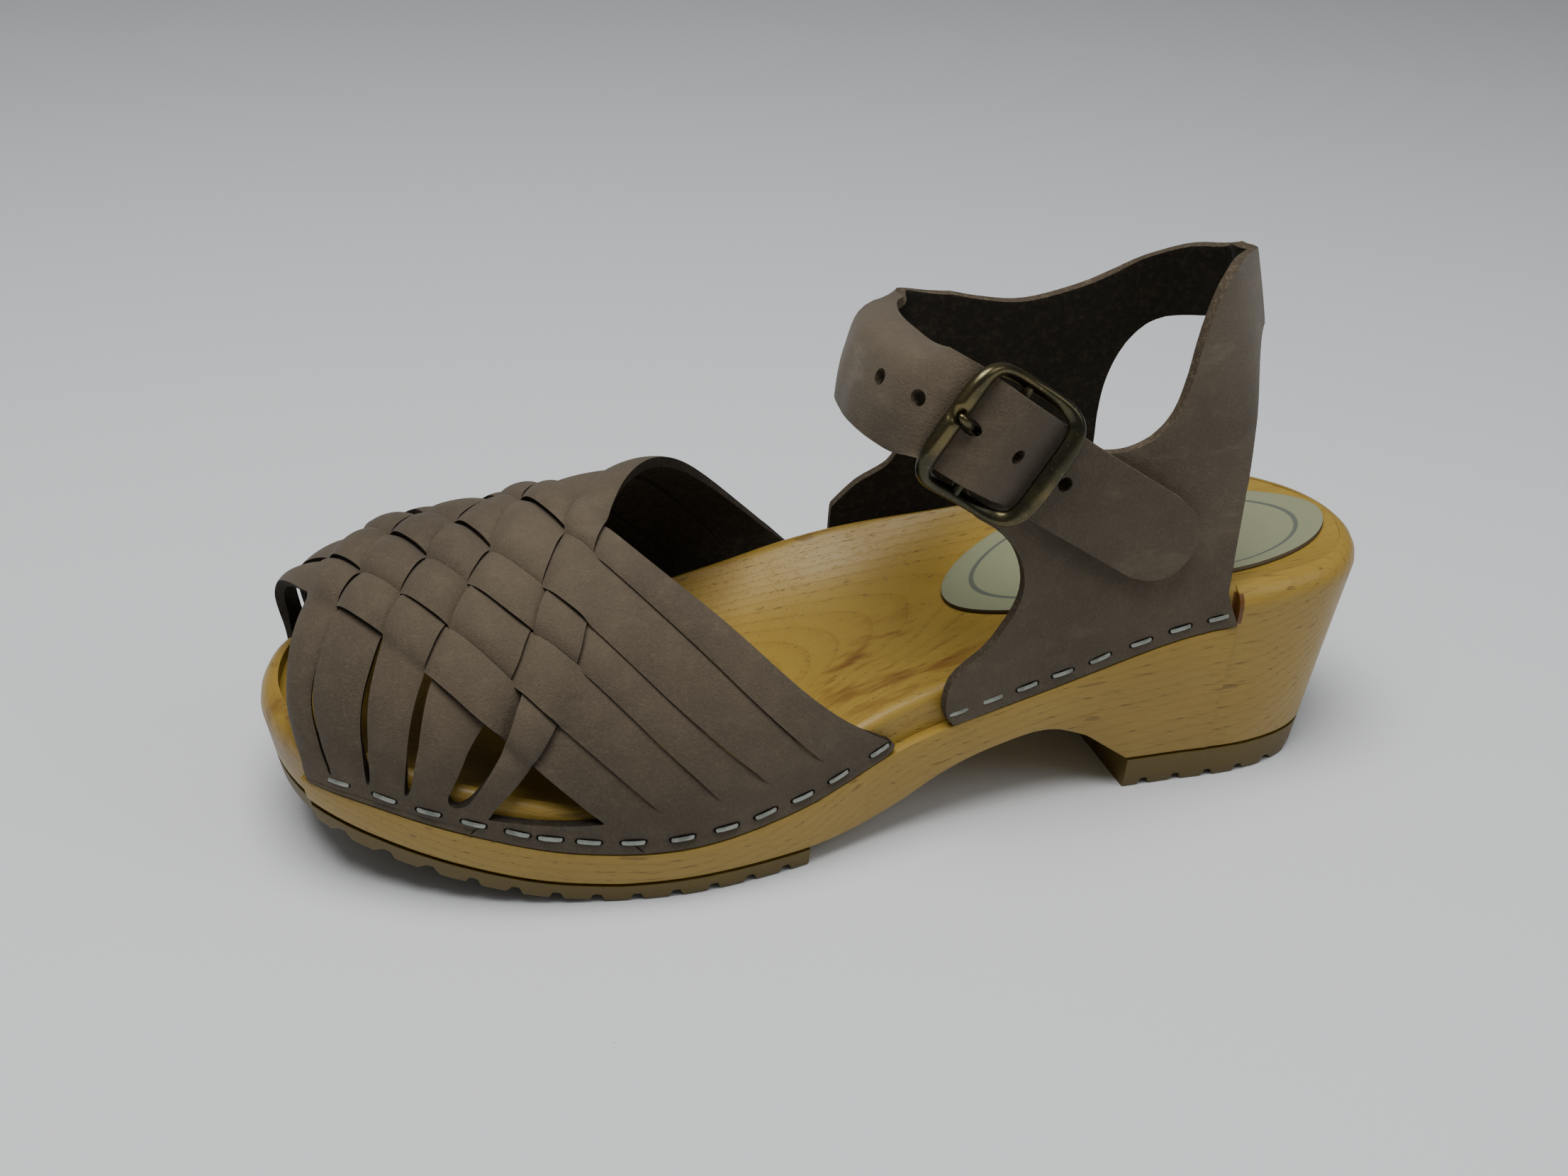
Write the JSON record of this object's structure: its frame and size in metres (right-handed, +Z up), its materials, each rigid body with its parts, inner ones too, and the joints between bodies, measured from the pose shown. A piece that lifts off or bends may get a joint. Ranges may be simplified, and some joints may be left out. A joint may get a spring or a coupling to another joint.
{
  "type": "clog sandal",
  "caption": "Left clog sandal: woven strap vamp and buckled ankle strap of nubuck, stapled to a carved wooden sole with a mid heel and rubber treads.",
  "frame": {"origin": "on the ground under the middle of the heel, on a land of the heel tread", "axes": "+X to the toe, +Y to the outer side of the left shoe, +Z up"},
  "size_m": [0.247, 0.0896, 0.1195],
  "materials": {
    "alder": "clear lacquer, honey amber, long grain with dark flecks",
    "gum_rubber": "matt moulded rubber with cross grooves",
    "label": "smooth pale sheet with a dark cut edge",
    "nubuck": "taupe nubuck, dark cut edges, dark brown suede inside",
    "antique_brass": "antiqued, rubbed bright on the edges"
  },
  "bodies": {
    "root": {"sole": "alder", "heel_tread": "gum_rubber", "forefoot_tread": "gum_rubber", "heel_label": "label", "vamp": "nubuck", "quarter": "nubuck", "buckle_frame": "antique_brass", "buckle_prong": "antique_brass"}
  },
  "joints": []
}
